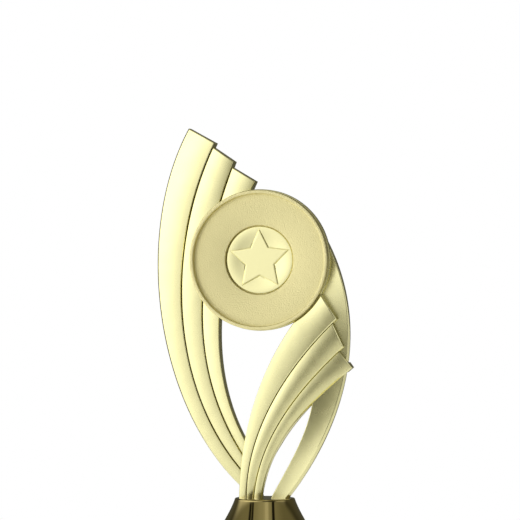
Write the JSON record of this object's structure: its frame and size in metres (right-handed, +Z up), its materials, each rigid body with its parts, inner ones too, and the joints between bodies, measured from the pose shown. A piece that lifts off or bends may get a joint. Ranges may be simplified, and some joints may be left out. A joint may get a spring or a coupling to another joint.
{
  "type": "star trophy",
  "caption": "Freestanding award: stepped plumes and a crescent hold a round star centre above a flared riser and a square stone base.",
  "frame": {"origin": "on the threaded rod's axis, on the underside of the felt", "axes": "+Z up; the star faces -Y; +X to the right as seen from the front"},
  "size_m": [0.0752, 0.0651, 0.1928],
  "materials": {
    "figure_gold": "satin metallised pale gold on moulded plastic",
    "disc_gold": "metallised pale gold, fine blasted grain on the face and a smooth lip",
    "star_gold": "stamped, satin pale gold",
    "riser_gold": "mirror-bright metallised dark gold",
    "black_stone": "polished black marble with fine pale veins",
    "plate_brass": "brushed, blank",
    "zinc_steel": "zinc plated",
    "felt": "short-pile felt",
    "foam_tape": "double-sided foam tape"
  },
  "bodies": {
    "root": {"base_felt": "felt", "stone_base": "black_stone", "plate_adhesive": "foam_tape", "name_plate": "plate_brass", "base_nut": "zinc_steel", "base_washer": "zinc_steel", "threaded_rod": "zinc_steel", "riser": "riser_gold", "captive_nut": "zinc_steel", "root_block": "figure_gold", "left_blade_outer": "figure_gold", "left_blade_middle": "figure_gold", "left_blade_inner": "figure_gold", "left_plume_back": "figure_gold", "crescent_blade": "figure_gold", "right_blade_upper": "figure_gold", "right_blade_middle": "figure_gold", "right_blade_lower": "figure_gold", "right_plume_back": "figure_gold", "disc_back": "figure_gold", "disc_front": "disc_gold", "centre_adhesive": "foam_tape", "star_centre": "star_gold", "disc_screws": "zinc_steel"}
  },
  "joints": []
}
